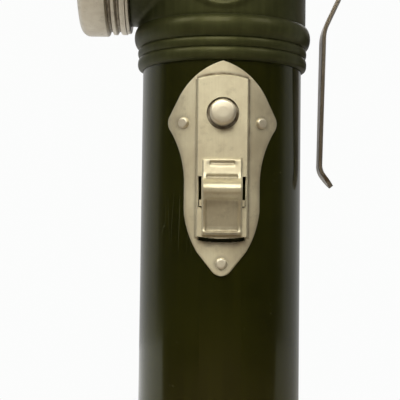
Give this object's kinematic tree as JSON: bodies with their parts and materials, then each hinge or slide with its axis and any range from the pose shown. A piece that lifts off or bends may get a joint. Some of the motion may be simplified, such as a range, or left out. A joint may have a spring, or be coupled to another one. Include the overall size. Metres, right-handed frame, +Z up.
{
  "type": "angle head flashlight",
  "caption": "Right-angle metal flashlight: round battery tube, sideways lamp head with screw ring, shield-shaped slide and push switch, belt clip and screw end cap.",
  "frame": {"origin": "centre of the base rim that the light stands on, on the battery tube's axis", "axes": "+Z up along the battery tube, the lens faces -Y, the switch faces +X, the belt clip is at +Y"},
  "size_m": [0.054, 0.0622, 0.2024],
  "materials": {
    "olive_enamel": "glossy dark olive enamel",
    "grey_green_paint": "satin grey-green paint",
    "liner_card": "waxed card",
    "cell_jacket": "plain printed jacket",
    "fibre_board": "red vulcanised fibre",
    "mirror_plate": "silvered bowl",
    "brass_thread": "plain brass",
    "clear_glass": "clear",
    "brass_leaf": "sprung brass leaf",
    "lead_sleeve": "insulated wire",
    "nickel_plate": "worn warm nickel plate",
    "nickel_ring": "worn nickel plate",
    "spring_steel": "tarnished spring steel",
    "black_rubber": "moulded"
  },
  "bodies": {
    "casing": {"body_tube": "olive_enamel", "tube_liner": "liner_card", "lower_cell": "cell_jacket", "upper_cell": "cell_jacket", "battery_stop": "fibre_board", "head_shell": "grey_green_paint", "reflector": "mirror_plate", "lamp_base": "brass_thread", "lamp_glass": "clear_glass", "lamp_socket": "brass_thread", "socket_insulator": "fibre_board", "head_contact": "brass_leaf", "socket_lead": "lead_sleeve", "contact_strip": "brass_leaf", "switch_insulator": "fibre_board", "switch_plate": "nickel_plate", "switch_rivets": "nickel_plate", "button_spring": "spring_steel", "belt_clip": "spring_steel", "clip_rivets": "nickel_plate", "clip_backing": "spring_steel"},
    "lens_seat": {"lens_glass": "clear_glass", "lens_gasket": "black_rubber"},
    "lens_ring": {"lens_ring": "nickel_ring"},
    "cap_lift": {"cap_gasket": "black_rubber"},
    "end_cap": {"end_cap": "nickel_ring", "cap_spring": "spring_steel", "spare_holder": "brass_thread", "spare_lamp_base": "brass_thread", "spare_lamp_glass": "clear_glass", "hanger_saddle": "nickel_plate", "saddle_rivets": "nickel_plate"},
    "hanger": {"hanger_ring": "spring_steel"},
    "thumb_slide": {"switch_slide": "nickel_plate", "slide_contact": "brass_leaf"},
    "flash_button": {"flash_button": "nickel_plate"}
  },
  "joints": [
    {"name": "lens_travel", "type": "slide", "parent": "casing", "child": "lens_seat", "axis": [0, -1, 0], "range_m": [0, 0.005]},
    {"name": "lens_turn", "type": "hinge", "parent": "lens_seat", "child": "lens_ring", "pos_m": [0, -0.0274, 0.1754], "axis": [0, -1, 0], "range_deg": [0, 720]},
    {"name": "cap_travel", "type": "slide", "parent": "casing", "child": "cap_lift", "axis": [0, 0, -1], "range_m": [0, 0.009]},
    {"name": "cap_turn", "type": "hinge", "parent": "cap_lift", "child": "end_cap", "pos_m": [0, 0, 0.012], "axis": [0, 0, -1], "range_deg": [0, 1080]},
    {"name": "hanger_fold", "type": "hinge", "parent": "end_cap", "child": "hanger", "pos_m": [0, 0.0105, 0.0017], "axis": [1, 0, 0], "range_deg": [0, 120]},
    {"name": "slide_switch", "type": "slide", "parent": "casing", "child": "thumb_slide", "axis": [0, 0, 1], "range_m": [0, 0.005]},
    {"name": "flash_press", "type": "slide", "parent": "casing", "child": "flash_button", "axis": [-1, 0, 0], "range_m": [0, 0.0012], "stiffness_N_per_m": 600, "springref_m": -0.0015}
  ],
  "couplings": [
    {"joint": "lens_travel", "follows": "lens_turn", "m_per_rad": 0.00039788},
    {"joint": "cap_travel", "follows": "cap_turn", "m_per_rad": 0.00047746}
  ]
}
